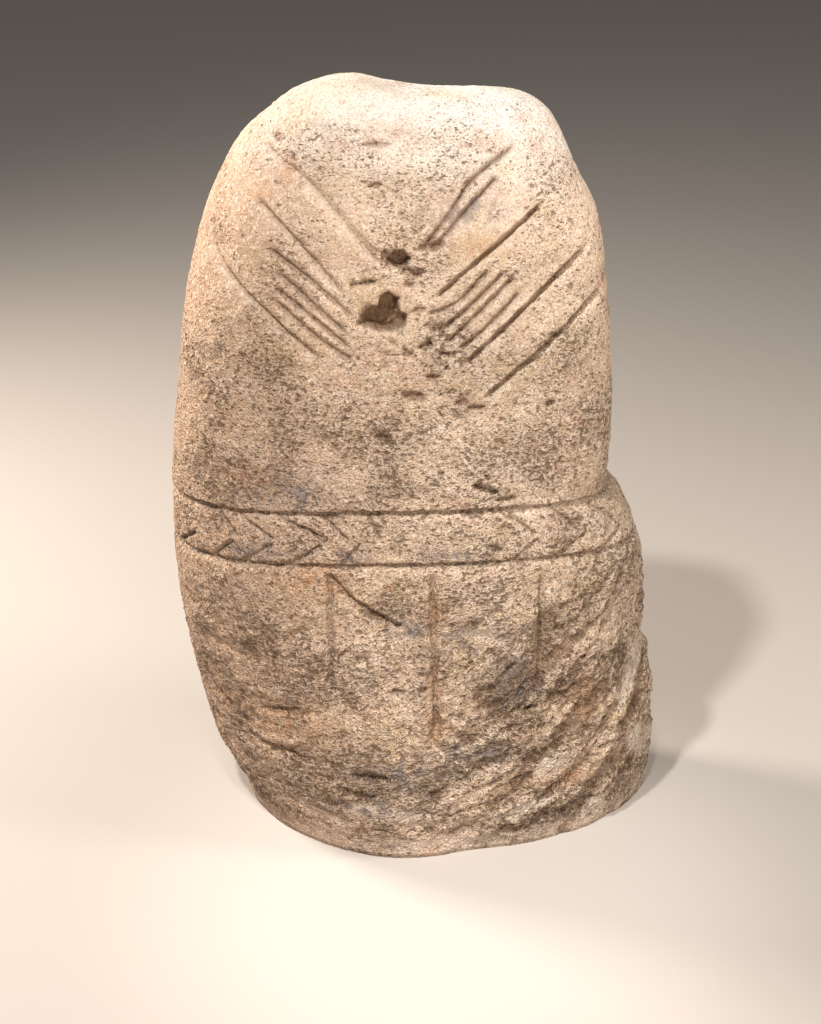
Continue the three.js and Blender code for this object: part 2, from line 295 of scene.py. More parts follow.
# %% Places of the lines
FRONT_LINES = [
    ("soft", [(-0.278, 0.934), (-0.185, 0.887), (-0.074, 0.804)]),
    ("arm", [(-0.292, 0.871), (-0.213, 0.82), (-0.141, 0.768)]),
    ("left finger", [(-0.276, 0.816), (-0.194, 0.779), (-0.118, 0.736)]),
    ("left finger", [(-0.259, 0.788), (-0.2, 0.756), (-0.131, 0.717)]),
    ("left finger", [(-0.265, 0.77), (-0.195, 0.736), (-0.128, 0.7)]),
    ("left finger", [(-0.267, 0.755), (-0.19, 0.714), (-0.119, 0.681)]),
    ("arm", [(-0.383, 0.845), (-0.376, 0.802), (-0.268, 0.731), (-0.175, 0.681)]),
    ("right finger", [(0.177, 0.932), (0.102, 0.9), (0.056, 0.859), (0.006, 0.818)]),
    ("right finger", [(0.144, 0.9), (0.083, 0.86), (0.02, 0.813)]),
    ("deep", [(0.227, 0.865), (0.135, 0.817), (0.027, 0.757)]),
    ("right finger", [(0.131, 0.792), (0.07, 0.753), (0.014, 0.737)]),
    ("right finger", [(0.16, 0.79), (0.1, 0.752), (0.041, 0.718)]),
    ("right finger", [(0.178, 0.783), (0.112, 0.741), (0.047, 0.701)]),
    ("right finger", [(0.187, 0.763), (0.122, 0.72), (0.073, 0.694)]),
    ("deep", [(0.311, 0.809), (0.194, 0.742), (0.079, 0.673)]),
    ("deep", [(0.347, 0.754), (0.234, 0.693), (0.119, 0.632)]),
    ("leg", [(-0.169, 0.415), (-0.171, 0.334), (-0.172, 0.253)]),
    ("leg", [(0.027, 0.415), (0.031, 0.3), (0.038, 0.184)]),
    ("leg", [(0.239, 0.4), (0.242, 0.318), (0.244, 0.238)]),
    ("crack", [(-0.177, 0.412), (-0.118, 0.373), (-0.05, 0.343), (-0.025, 0.336)]),
]
BELT_LOWER = 0.42 * HEIGHT
BELT_UPPER = 0.487 * HEIGHT
BELT_DROOP = 16 * MM
UPPER_STROKE_DROP = 38 * MM
LOWER_STROKE_RISE = 31 * MM
UPPER_STROKES = [
    (166, 157), (153, 147), (148, 138), (139, 123), (126, 117), (111, 105), (54, 45), (38, 32),
    (25, 17),
]
LOWER_STROKES = [
    (167, 159), (154, 148), (146, 138), (134, 125), (119, 113), (54, 44), (41, 29), (27, 15),
]
print(len(FRONT_LINES), "lines in front,", len(UPPER_STROKES) + len(LOWER_STROKES), "strokes")

# %% Lines laid on the stone


def place_in_front(x, z):
    """The point and outward normal seen from the front at x, z."""
    point, normal, _, _ = surface.ray_cast(Vector((x, -1, z)), Vector((0, 1, 0)))
    return point, normal


def place_around(degrees, z):
    """The point and outward normal seen from outside, looking at the stone's middle line."""
    turn = math.radians(degrees)
    out = Vector((math.cos(turn), -math.sin(turn), 0))
    point, normal, _, _ = surface.ray_cast(Vector((0, 0, z)) + out, -out)
    return point, normal


def belt_height(level, degrees):
    return level - BELT_DROOP * math.cos(math.radians(degrees)) ** 6


def belt_line(level, steps=240):
    angles = [360 * i / steps for i in range(steps + 1)]
    return [place_around(a, belt_height(level, a)) for a in angles]


def belt_stroke(level, rise, span, steps=10):
    shares = [i / steps for i in range(steps + 1)]
    angles = [span[0] + (span[1] - span[0]) * s for s in shares]
    return [place_around(a, belt_height(level + rise * s, a)) for s, a in zip(shares, angles)]


def front_line(points, steps=24):
    curve = curve_at(curve_through(points), np.linspace(0, 1, steps + 1))
    return [place_in_front(x, z) for x, z in curve]


carved = [(kind, front_line(points), True) for kind, points in FRONT_LINES]
for level in (BELT_LOWER, BELT_UPPER):
    carved.append(("belt", belt_line(level), False))
for span in UPPER_STROKES:
    carved.append(("stroke", belt_stroke(BELT_UPPER, -UPPER_STROKE_DROP, span), True))
for span in LOWER_STROKES:
    carved.append(("stroke", belt_stroke(BELT_LOWER, LOWER_STROKE_RISE, span), True))
print(len(carved), "carved lines")

# %% [markdown]
# The holes. Rain and frost opened two deep holes in the chest, where the stone was soft, and many
# smaller pits and slits; the slits follow the beds. Each is an oval on the front: its place as
# shares of width and height, its half width and half height in mm, its depth in mm, its tilt.

# %% Places of the holes and slits
HOLES = [
    (-0.037, 0.806, 17, 14, 18, 0), (-0.012, 0.79, 16, 8, 8, -15), (-0.061, 0.812, 7, 9, 8, 0),
    (-0.081, 0.738, 23, 15, 24, 22), (-0.056, 0.754, 14, 14, 26, 0), (-0.066, 0.737, 26, 18, 26, 10),
    (-0.042, 0.732, 18, 13, 22, 0), (-0.018, 0.775, 8, 5, 5, 0), (0.012, 0.7, 12, 5, 6, 15),
    (-0.056, 0.73, 26, 13, 25, 0), (-0.057, 0.745, 20, 13, 26, 10),
    (0.01, 0.82, 10, 7, 9, 20), (0.032, 0.822, 13, 8, 10, 25), (-0.1, 0.778, 22, 3.5, 6, 8),
    (0.035, 0.722, 14, 7, 7, 20), (-0.008, 0.637, 19, 8, 8, -5), (0.024, 0.66, 10, 6, 5, 20),
    (0.06, 0.689, 11, 5, 5, 10), (-0.019, 0.689, 9, 5, 4, 0), (0.003, 0.745, 11, 5, 5, 0),
    (0.081, 0.629, 11, 5, 5, 15), (0.11, 0.622, 13, 5, 4, 0), (-0.065, 0.586, 13, 6, 8, -10),
    (0.249, 0.621, 8, 4, 5, 0), (0.044, 0.539, 5, 4, 6, 0), (0.131, 0.533, 5, 4, 6, 0),
    (0.118, 0.518, 15, 5, 6, -15), (0.143, 0.512, 9, 4, 6, -30), (0.17, 0.5, 18, 4, 7, 8),
    (0.157, 0.484, 4, 4, 5, 0), (0.15, 0.438, 12, 5, 7, -22), (0.31, 0.459, 15, 6, 5, 5),
    (-0.075, 0.938, 24, 4, 5, 0), (-0.079, 0.892, 11, 4, 5, 10), (-0.252, 0.942, 10, 6, 4, 0),
    (-0.037, 0.251, 13, 4, 7, 0), (0.01, 0.252, 7, 5, 7, 30), (-0.109, 0.294, 14, 5, 4, -5),
    (0.225, 0.214, 11, 5, 8, 28), (0.2, 0.237, 30, 5, 7, 38), (0.294, 0.183, 38, 8, 7, 44),
    (0.285, 0.088, 36, 7, 8, 34), (0.196, 0.029, 28, 9, 7, -8), (0.316, 0.014, 22, 10, 7, 35),
    (0.344, 0.044, 26, 6, 6, 3), (0.383, 0.129, 10, 6, 8, 20), (0.447, 0.158, 28, 10, 14, 32),
    (0.425, 0.07, 14, 5, 7, 50), (-0.092, 0.129, 34, 5, 7, -3), (-0.123, 0.103, 36, 6, 7, -12),
    (-0.27, 0.215, 32, 5, 6, 12), (-0.272, 0.152, 42, 5, 5, -6), (-0.365, 0.036, 13, 20, 15, -25),
    (-0.4, 0.2, 22, 5, 5, -38), (-0.46, 0.33, 18, 5, 5, -42), (-0.09, 0.352, 26, 7, 5, -25),
    (0.31, 0.893, 18, 9, 10, -40), (0.354, 0.822, 14, 9, 9, -60), (0.362, 0.76, 12, 9, 5, 0),
]


def spot_radius(points, x, z, half_width, half_height, tilt):
    """0 at the middle of a tilted oval on the front, 1 on its edge."""
    turn = math.radians(tilt)
    right, up = points[:, 0] - x * WIDTH, points[:, 2] - z * HEIGHT
    along = right * math.cos(turn) + up * math.sin(turn)
    across = -right * math.sin(turn) + up * math.cos(turn)
    return np.hypot(along / (half_width * MM), across / (half_height * MM))


print(len(HOLES), "holes and slits")

# %% [markdown]
# A trough that is 10 mm wide needs points every 2 or 3 mm, but the plain back does well with the
# points it has. So the mesh is made finer in two steps: all of the front once, and the faces
# near a carved line or in a hole once more. A subdivision surface would refine the whole stone
# alike.

# %% Distance to a line


def nearest_on_path(points, path):
    """Each point's distance to the path, the nearest place, its share of the length, and up."""
    places = np.array([p for p, _ in path])
    normals = np.array([n for _, n in path])
    start, step = places[:-1], np.diff(places, axis=0)
    length = np.linalg.norm(step, axis=1)
    run = np.concatenate([[0], np.cumsum(length)])
    best = np.full(len(points), np.inf)
    nearest = np.zeros((len(points), 3))
    share = np.zeros(len(points))
    upward = np.zeros((len(points), 3))
    for i in range(len(start)):
        t = np.clip((points - start[i]) @ step[i] / length[i] ** 2, 0, 1)
        q = start[i] + t[:, None] * step[i]
        distance = np.linalg.norm(points - q, axis=1)
        closer = distance < best
        best[closer] = distance[closer]
        nearest[closer] = q[closer]
        share[closer] = (run[i] + t[closer] * length[i]) / run[-1]
        across = np.cross(normals[i], step[i])
        across *= 1 if across[2] + 0.3 * across[0] >= 0 else -1
        upward[closer] = across / np.linalg.norm(across)
    return best, nearest, share, upward


def close_to(points, path, reach):
    """Indices of the points inside the path's box, made larger by reach."""
    places = np.array([p for p, _ in path])
    inside = (points > places.min(0) - reach) & (points < places.max(0) + reach)
    return np.flatnonzero(inside.all(1))


print("nearest to the crown on line 1:", nearest_on_path(crown_point, carved[0][1])[1].round(3))

# %% Finer mesh where it is needed
FRONT_EDGE = 45 * MM
LINE_EDGE = 20 * MM
NEAR_LINE = 9.5 * MM
NEAR_HOLE = 1.1
GROUND = 1e-6


def split_edges(bm, chosen):
    """Splits every edge whose two ends are chosen, and the faces between them."""
    edges = [e for e in bm.edges if chosen[e.verts[0].index] and chosen[e.verts[1].index]]
    bmesh.ops.subdivide_edges(bm, edges=edges, cuts=1, use_grid_fill=True)
    bm.verts.index_update()
    bm.verts.ensure_lookup_table()


def points_of(bm):
    return np.array([v.co[:] for v in bm.verts])


stone.verts.index_update()
points = points_of(stone)
split_edges(stone, (points[:, 1] < FRONT_EDGE) & (points[:, 2] > GROUND))
points = points_of(stone)
near = np.zeros(len(points), bool)
for _, path, _ in carved:
    at = close_to(points, path, NEAR_LINE)
    at = at[points[at, 1] < LINE_EDGE]
    near[at[nearest_on_path(points[at], path)[0] < NEAR_LINE]] = True
for *spot, _, tilt in HOLES:
    near |= (spot_radius(points, *spot, tilt) < NEAR_HOLE) & (points[:, 1] < 0)
split_edges(stone, near)
bmesh.ops.triangulate(stone, faces=[f for f in stone.faces if len(f.verts) > 3])
stone.normal_update()
points = points_of(stone)
normals = np.array([v.normal[:] for v in stone.verts])
in_front = 1 - smoothstep(normals[:, 1], 0.05, 0.4)
print("refined stone:", len(stone.faces), "triangles")

# %% [markdown]
# Nothing on old stone is even, so almost every step from here on needs an uneven number for each
# point. A noise gives it: near points get near numbers, and the size says how wide a lump is.

# %% Noise over the stone


def noise_at(points, size, seed, octaves=1, stretch=(1, 1, 1)):
    """Smooth noise, about -1 to 1, whose lumps are size metres across."""
    places = points * np.array(stretch) / size + np.array([17.3, 5.1, 9.7]) * seed
    values = np.empty(len(points))
    for i, place in enumerate(places):
        at = Vector(place)
        values[i] = noise.noise(at)
        for octave in range(1, octaves):
            values[i] += noise.noise(at * 2.1**octave) / 1.8**octave
    return values


wobble = noise_at(points, 14 * MM, 3) * 1.8 * MM
unevenness = noise_at(points, 30 * MM, 4)
print("lines wander by up to", round(np.abs(wobble).max() / MM, 1), "mm")

# %% [markdown]
# Pushing the lines in. Each point near a path looks up how far off it is and on which side, and
# gets a depth from that. The path's ends run out, and the depth is uneven, as blows are. Two more
# numbers are kept for the finish: how much dirt and painted shade lie in the line, and how smooth
# its lip was rubbed, which the finish also gives a painted highlight.

# %% Push the carving in
UNEVEN_DEPTH = 0.3
RUN_OUT = 0.08
DEPTH_AT_END = 0.15
SHADE_AND_DIRT_FADES = 2 * MM, 5.5 * MM

carving = np.zeros(len(points))
held_dirt_and_shade = np.zeros(len(points))
rubbed_and_lit = np.zeros(len(points))
for kind, path, fades in carved:
    edge, width_above, width_below, depth, rubbing_and_light, line_dirt_and_shade = LINE_KINDS[kind]
    at = close_to(points, path, width_below + 3 * MM)
    distance, nearest, share, upward = nearest_on_path(points[at], path)
    above = ((points[at] - nearest) * upward).sum(1) > 0
    off = np.clip((distance + wobble[at]) / np.where(above, width_above, width_below), 0, 1)
    if edge == ROUND_EDGED:
        wall = (1 - off) ** 1.6
    else:
        wall = np.where(above, 1 - smoothstep(off, 0, 1), (1 - off) ** 1.7)
    ends = 1.0
    if fades:
        run_in = smoothstep(share, 0, RUN_OUT) * smoothstep(1 - share, 0, RUN_OUT)
        ends = DEPTH_AT_END + (1 - DEPTH_AT_END) * run_in
    trough = depth * (1 + UNEVEN_DEPTH * unevenness[at]) * wall * ends
    carving[at] = np.hypot(carving[at], trough)
    # dirt and painted shade held near the path, where the line's shade falls
    held = line_dirt_and_shade * ends * (1 - smoothstep(distance + wobble[at], *SHADE_AND_DIRT_FADES))
    held_dirt_and_shade[at] = np.maximum(held_dirt_and_shade[at], held)
    # the rubbed lower lip: smoother skin, and a painted highlight in the finish
    smoothed = 1 - smoothstep(distance + wobble[at], 0.3 * width_below, 1.1 * width_below)
    rubbed_and_lit[at] = np.maximum(rubbed_and_lit[at], rubbing_and_light * ends * ~above * smoothed)
print("deepest carving", round(carving.max() / MM, 1), "mm")

# %% [markdown]
# The larger weather marks. Besides the holes and slits there are scars, where flakes broke off and
# left fresh paler stone, mostly near the foot, and low bulges between them. All are ovals on the
# front with a ragged edge; a bulge stands out by its fifth number, in mm. The foot and the crown
# count as bare stone too: their skin is calmer, and the paler colour they get is painted light,
# thrown up from the ground onto the foot and glare from above on the crown.

# %% Holes, scars and bulges
BULGES = [
    (0.466, 0.1, 20, 34, 6, 20), (0.27, 0.124, 26, 14, 5, 30), (0.37, 0.03, 26, 12, 4, 35),
    (-0.1, 0.31, 20, 14, 4, 0), (-0.16, 0.1, 34, 12, 4, -14), (-0.07, 0.075, 40, 14, 4, -10),
    (0.13, 0.06, 44, 14, 4, 10),
]
SCARS = [
    (0.452, 0.226, 56, 20, 62), (0.27, 0.124, 28, 15, 30), (0.37, 0.03, 30, 14, 35),
    (0.466, 0.1, 20, 34, 20), (-0.06, 0.075, 70, 12, -8), (0.2, 0.06, 50, 10, 14),
    (-0.2, 0.06, 44, 14, -16),
]


ragged = noise_at(points, 12 * MM, 7, octaves=3)
holes = np.zeros(len(points))
for *spot, depth, tilt in HOLES:
    radius = spot_radius(points, *spot, tilt) * (1 + 0.24 * ragged)
    holes = np.maximum(holes, in_front * depth * MM * (1 - smoothstep(radius, 0.55, 1.1)))
bulges = np.zeros(len(points))
for *spot, rise, tilt in BULGES:
    radius = spot_radius(points, *spot, tilt) * (1 + 0.2 * ragged)
    bulges = np.maximum(bulges, in_front * rise * MM * (1 - smoothstep(radius, 0.3, 1.3)))
scars = np.zeros(len(points))
for *spot, tilt in SCARS:
    radius = spot_radius(points, *spot, tilt) * (1 + 0.25 * ragged)
    scars = np.maximum(scars, in_front * (1 - smoothstep(radius, 0.75, 1.1)))
# bands at the foot and the crown: calmer skin, and a paler colour that is painted light
lit_foot_band = 1 - smoothstep(points[:, 2] + ragged * 8 * MM, 0.02, 0.045)
lit_crown_part = smoothstep(points[:, 2] + ragged * 12 * MM + 0.1 * points[:, 0], 0.99, 1.07)
bare_and_painted_light = np.maximum(scars, np.maximum(0.8 * lit_foot_band, 0.6 * lit_crown_part))
print("deepest hole", round(holes.max() / MM, 1), "mm,", len(SCARS), "scars")

# %% [markdown]
# The beds. Sandstone is laid down in thin beds, harder and softer by turns, and this slab was
# split almost along them. So they hardly show on the chest, but where the lower sides curve back
# they come out as ridges, slanting, and closer together near the edges. That pattern needs no
# drawing: it is a noise along one direction, square to the beds, and the form of the stone does
# the rest. Here and there water opened the joint between two beds into a long narrow slit.
# The ridges are strongest at the lower right, so each height is a base plus more on the right.

# %% Beds
BED_FACE = np.array([-0.35, -0.75, 0.8])
BED_TOP = 0.30, 0.46
BED_RUN = 110 * MM
BED_SHARPNESS = 2.6
THICK_BED, MORE_ON_RIGHT = 1.4 * MM, 3.4 * MM
THIN_BED = 1.9 * MM
JOINT, DEEPER_ON_RIGHT = 1.5 * MM, 3.5 * MM


def bed_noise(points, thickness, seed):
    """A noise whose lumps are as thin as a bed and as long as a hand."""
    level = points @ BED_FACE + noise_at(points, 80 * MM, seed) * 5 * MM
    place = [level / thickness, points[:, 0] / BED_RUN, points[:, 2] / BED_RUN]
    return noise_at(np.column_stack(place), 1.0, seed + 1)


low_part = 1 - smoothstep(points[:, 2], *BED_TOP)
towards_side = smoothstep(np.abs(points[:, 0] + 0.04), 0.03, 0.25)
broken = smoothstep(noise_at(points, 60 * MM, 28, octaves=2), -0.35, 0.35)
bed_strength = (0.12 + low_part * (0.4 + 0.6 * towards_side)) * (1 - 0.8 * bare_and_painted_light)
right_part = smoothstep(points[:, 0], -0.06, 0.14)
thick_beds = np.tanh(BED_SHARPNESS * bed_noise(points, 26 * MM, 21))
thick_beds *= THICK_BED + MORE_ON_RIGHT * right_part
thin_beds = np.tanh(BED_SHARPNESS * bed_noise(points, 9 * MM, 25)) * (0.3 + 0.7 * broken)
thin_beds *= THIN_BED
joints = 1 - smoothstep(np.abs(bed_noise(points, 30 * MM, 31)), 0.02, 0.09)
joints *= smoothstep(noise_at(points, 45 * MM, 33), -0.1, 0.2)
joints *= JOINT + DEEPER_ON_RIGHT * right_part
ridges = (thick_beds + thin_beds - joints) * bed_strength
print("beds stand out up to", round(ridges.max() / MM, 1), "mm")

# %% [markdown]
# The pecked skin. The whole front was dressed with a stone hammer, blow by blow, then rained on:
# a field of small dents, wider than tall, rougher between the hands and near the foot, smoother
# at the top and at the edges. The mesh carries the dents of a centimetre; the grain comes from
# the finish. A displacement texture could give the same dents, but a mesh keeps them when it is
# used elsewhere.

# %% Dents of the skin
SCAR_DEPTH = 3.5 * MM
SWELL_HEIGHT = 2 * MM
LUMP_HEIGHT = 2.2 * MM
DENT_DEPTH = 2.7 * MM
EATEN_DEPTH = 7 * MM
WIDER = (1, 1, 1.4)
heart = np.exp(-((points[:, 0] - 0.02) / 0.06) ** 2 - ((points[:, 2] - 0.75) / 0.08) ** 2)
top_part = smoothstep(points[:, 2], 0.75, 0.95)
patches = smoothstep(noise_at(points, 75 * MM, 14, octaves=2), -0.5, 0.6)
low_left = low_part * (1 - right_part)
at_edge = smoothstep(np.abs(normals[:, 0]), 0.55, 0.9)
rough = (0.6 + 0.6 * patches + 1.0 * low_part - 0.4 * top_part) * (1 - 0.65 * bare_and_painted_light)
rough *= (1 - 0.5 * low_left) * (1 - 0.45 * at_edge)
swell = noise_at(points, 120 * MM, 11, octaves=2) * SWELL_HEIGHT
lumps = noise_at(points, 32 * MM, 12, octaves=2, stretch=WIDER) * LUMP_HEIGHT
dents = noise_at(points, 13 * MM, 13, octaves=2, stretch=WIDER) * DENT_DEPTH
soft_spots = smoothstep(noise_at(points, 15 * MM, 15, octaves=2, stretch=(1, 1, 1.6)), 0.12, 0.6)
softness = (0.12 + 0.88 * heart * in_front + 0.42 * low_part) * (1 - 0.6 * low_left)
eaten = soft_spots * softness * (1 - bare_and_painted_light) * EATEN_DEPTH
skin = (lumps + dents) * rough + eaten
print("roughness from", round(rough.min(), 2), "to", round(rough.max(), 2))

# %% [markdown]
# Then everything is added up, and each point moves once, straight in or out. Inside a carved line
# the skin is smoother, because the line was rubbed, and deep holes get painted shade, kept together
# with the lines' dirt and painted shade.

# %% Move the points
SMOOTH_IN_LINE = 0.75
SHADE_IN_HOLES = 0.8

still_rough = 1 - SMOOTH_IN_LINE * np.maximum(rubbed_and_lit, smoothstep(carving, 0, 4 * MM))
# deep holes get painted shade, kept with the lines' dirt and painted shade
held_dirt_and_shade = np.maximum(held_dirt_and_shade, SHADE_IN_HOLES * smoothstep(holes, 6 * MM, 14 * MM))
pressed_in = np.maximum(carving, holes) + skin * still_rough + SCAR_DEPTH * scars
pressed_in -= swell + bulges + ridges
moved = points - normals * pressed_in[:, None]
moved[:, 2] = np.clip(moved[:, 2], 0, None)
moved[points[:, 2] < GROUND, 2] = 0
print("moved in by up to", round(pressed_in.max() / MM, 1), "mm")

# %% [markdown]
# The stains. Grey-violet and rusty patches lie where water and iron worked in the stone, a rusty
# streak runs down the middle leg line, and the foot is pale and red: its paleness is painted light
# that the ground throws up, kept with the bare stone, and its red is partly red earth and partly
# painted light from red ground, laid on in the finish.
# They are kept as values on the mesh's points, for the finish to read: painting by hand would do
# the same, but these stay where the stone's own measures put them.

# %% Stains
GREY_STAINS = [
    (0.093, 0.318, 42, 20), (0.044, 0.299, 26, 16), (0.184, 0.278, 34, 24), (0.062, 0.431, 52, 12),
    (-0.016, 0.33, 32, 14), (0.163, 0.322, 26, 14), (-0.315, 0.43, 34, 16), (-0.132, 0.43, 26, 12),
    (-0.24, 0.514, 60, 26), (-0.036, 0.132, 70, 22), (0.106, 0.157, 60, 20), (0.21, 0.24, 40, 18),
    (0.09, 0.86, 50, 16), (-0.1, 0.08, 60, 16),
]
RUST_STAINS = [
    (0.034, 0.354, 12, 40), (0.036, 0.271, 11, 44), (0.034, 0.2, 14, 34), (-0.284, 0.881, 26, 12),
    (-0.051, 0.391, 12, 8), (-0.33, 0.529, 36, 14), (-0.236, 0.904, 14, 26), (0.1, 0.82, 26, 14),
    (-0.2, 0.4, 60, 24), (0.3, 0.1, 50, 18), (-0.25, 0.2, 60, 22), (0.33, 0.22, 30, 40),
]


def stained(spots):
    """1 in the middle of any of the spots, fading to 0 outside them."""
    amount = np.zeros(len(points))
    for spot in spots:
        radius = spot_radius(points, *spot, 0) * (1 + 0.35 * ragged)
        amount = np.maximum(amount, in_front * np.exp(-(radius**2)))
    return amount


print(len(GREY_STAINS), "grey and", len(RUST_STAINS), "rusty stains")

# %% [markdown]
# The stone becomes an object that stands in for the CAD solid. Its points carry what the finish
# has to know: where dirt and painted shade lie, where it was rubbed and gets a painted highlight, how
# far into the skin a point is, which the finish turns into dirt and painted shade, where the stone is
# bare and where light is painted at the foot and the crown, how rough each patch is, and the stains.

# %% The stone as an object
HOLLOW_RANGE = 7 * MM
HOLLOW_MIDDLE = 0.4


def keep_on_points(mesh, name, values):
    """Keeps one number from 0 to 1 on each point, under a name that a material can read."""
    values = np.clip(values, 0, 1).astype(np.float32)
    mesh.attributes.new(name, "FLOAT", "POINT").data.foreach_set("value", values)
    print(name, "mean", round(float(values.mean()), 3))


for vert, place in zip(stone.verts, moved):
    vert.co = place
for face in stone.faces:
    face.smooth = True
mesh = bpy.data.meshes.new("menhir_stone")
stone.to_mesh(mesh)
stone.free()
mesh.transform(Matrix.Translation((0, BACK_PLACE, 0)))
keep_on_points(mesh, "held_dirt_and_shade", held_dirt_and_shade)
keep_on_points(mesh, "rubbed_and_lit", rubbed_and_lit)
# how far into the skin a point is; the finish darkens the deepest places with dirt and painted shade
hollow = HOLLOW_MIDDLE + (np.maximum(holes, skin) - ridges) / HOLLOW_RANGE
keep_on_points(mesh, "in_hollow", hollow)
keep_on_points(mesh, "bare_and_painted_light", bare_and_painted_light)
keep_on_points(mesh, "patches", patches)
keep_on_points(mesh, "grey_stain", stained(GREY_STAINS))
keep_on_points(mesh, "rust_stain", stained(RUST_STAINS))
menhir = bpy.data.objects.new("menhir_stone", mesh)
bpy.context.scene.collection.objects.link(menhir)
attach(menhir, "root")
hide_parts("menhir")
print("stone:", len(mesh.polygons), "triangles")

# %% [markdown]
# The finish is built from nodes. A few short helpers make a node, set its sockets and give back
# its output, so that the cells below read like the recipe of a glaze.

# %% Node helpers


def set_socket(tree, socket, value):
    """Links another node's output to the socket, or sets a plain number or colour."""
    if isinstance(value, bpy.types.NodeSocket):
        tree.links.new(value, socket)
    else:
        socket.default_value = value


def add_node(tree, kind, sockets=(), **settings):
    """A node with some of its settings and sockets set; sockets are given by name or number."""
    node = tree.nodes.new(kind)
    for name, value in settings.items():
        setattr(node, name, value)
    for name, value in dict(sockets).items():
        set_socket(tree, node.inputs[name], value)
    return node


def calculate(tree, operation, a, b=0.0, c=0.0):
    """The result of a Math node; only MULTIPLY_ADD, a times b plus c, reads c."""
    return add_node(tree, "ShaderNodeMath", {0: a, 1: b, 2: c}, operation=operation).outputs[0]


def blend(tree, factor, a, b):
    """Colour b laid over colour a, as thick as factor says."""
    return add_node(tree, "ShaderNodeMix", {0: factor, 6: a, 7: b}, data_type="RGBA").outputs[2]


def fade(tree, value, start, end):
    """0 at start, 1 at end, smooth between; start may lie above end."""
    sockets = {"Value": value, "From Min": start, "From Max": end}
    node = add_node(tree, "ShaderNodeMapRange", sockets, interpolation_type="SMOOTHSTEP")
    return node.outputs["Result"]


def cloud(tree, vector, scale, detail=3.0, roughness=0.55):
    """Soft noise, mostly between 0.3 and 0.7."""
    sockets = {"Vector": vector, "Scale": scale, "Detail": detail, "Roughness": roughness}
    return add_node(tree, "ShaderNodeTexNoise", sockets).outputs["Fac"]


print("helpers:", add_node.__name__, calculate.__name__, blend.__name__, fade.__name__, cloud.__name__)

# %% [markdown]
# An effect that is used more than once, at different sizes, becomes a node group with sockets of
# its own. It is made empty here, and each group below is then filled.

# %% A new node group


def new_group(name, inputs, outputs):
    """A node group with vector or float inputs and outputs, still empty inside."""
    group = bpy.data.node_groups.new(name, "ShaderNodeTree")
    for socket, kind in inputs:
        group.interface.new_socket(socket, in_out="INPUT", socket_type=kind)
    for socket, kind in outputs:
        group.interface.new_socket(socket, in_out="OUTPUT", socket_type=kind)
    ends = group.nodes.new("NodeGroupInput"), group.nodes.new("NodeGroupOutput")
    return group, ends[0].outputs, ends[1].inputs


VECTOR, NUMBER = "NodeSocketVector", "NodeSocketFloat"
print("a group's sockets are", VECTOR, "or", NUMBER)

# %% [markdown]
# Sand grain. Coarse sandstone is grains of quartz of slightly different tones in a paler cement.
# A Voronoi texture gives each grain its own tone and a domed height; a little noise breaks the
# cells up. The stone has fine and coarse grains, so it is a node group that can be placed twice.

# %% Sand grain group
grain_group, given, out = new_group(
    "Sand grain",
    [("Vector", VECTOR), ("Grains per Metre", NUMBER)],
    [("Tone", NUMBER), ("Height", NUMBER)],
)
cells = add_node(
    grain_group, "ShaderNodeTexVoronoi", {"Vector": given[0], "Scale": given[1], "Randomness": 1.0}
)
own_tone = add_node(grain_group, "ShaderNodeSeparateColor", {0: cells.outputs["Color"]}).outputs[0]
soft_noise = cloud(grain_group, given[0], given[1], 2.0, 0.6)
dome = fade(grain_group, cells.outputs["Distance"], 0.75, 0.05)
half_noise = calculate(grain_group, "MULTIPLY", soft_noise, 0.5)
grain_tone = calculate(grain_group, "MULTIPLY_ADD", own_tone, 0.5, half_noise)
grain_height = calculate(grain_group, "MULTIPLY_ADD", dome, 0.5, half_noise)
set_socket(grain_group, out["Tone"], grain_tone)
set_socket(grain_group, out["Height"], grain_height)
print("group", grain_group.name, "has", len(grain_group.nodes), "nodes")

# %% [markdown]
# Pits. The skin is full of small pits, wider than tall, that hold shade and dirt. Noise squeezed
# in height, and cut off low, leaves separate small hollows. More raises the cut, so that there are
# more of them. The stone uses the group at two sizes.

# %% Pit group
PIT_FLATNESS = 1.5
pit_group, given, out = new_group(
    "Weather pits",
    [("Vector", VECTOR), ("Pits per Metre", NUMBER), ("More", NUMBER)],
    [("Pit", NUMBER)],
)
squeezed = add_node(
    pit_group, "ShaderNodeVectorMath", {0: given[0], 1: (1, 1, PIT_FLATNESS)}, operation="MULTIPLY"
)
pit_noise = cloud(pit_group, squeezed.outputs[0], given[1], 1.5, 0.5)
pit_noise = calculate(pit_group, "SUBTRACT", pit_noise, given[2])
pit = fade(pit_group, pit_noise, 0.44, 0.3)
set_socket(pit_group, out["Pit"], pit)
print("group", pit_group.name, "has", len(pit_group.nodes), "nodes")

# %% [markdown]
# The colours of the stone, picked so that the lit stone has the photograph's tones. The material
# starts with where a point lies on the stone, and with the values that the mesh keeps for it.

# %% Colours and kept values
PALE = (0.70, 0.545, 0.41, 1)
BUFF = (0.49, 0.36, 0.245, 1)
ROSE = (0.60, 0.38, 0.28, 1)
YELLOW = (0.58, 0.44, 0.24, 1)
QUARTZ = (0.87, 0.775, 0.665, 1)
GLARE_WHITE = (0.93, 0.91, 0.86, 1)
DARK_GRAIN = (0.26, 0.165, 0.10, 1)
DIRT_AND_SHADE_COLOUR = (0.16, 0.085, 0.04, 1)
VIOLET_GREY = (0.17, 0.145, 0.145, 1)
RUST = (0.50, 0.25, 0.11, 1)
EARTH_AND_GROUND_LIGHT = (0.50, 0.27, 0.17, 1)
BROWN_AND_SHADE = (0.45, 0.28, 0.175, 1)

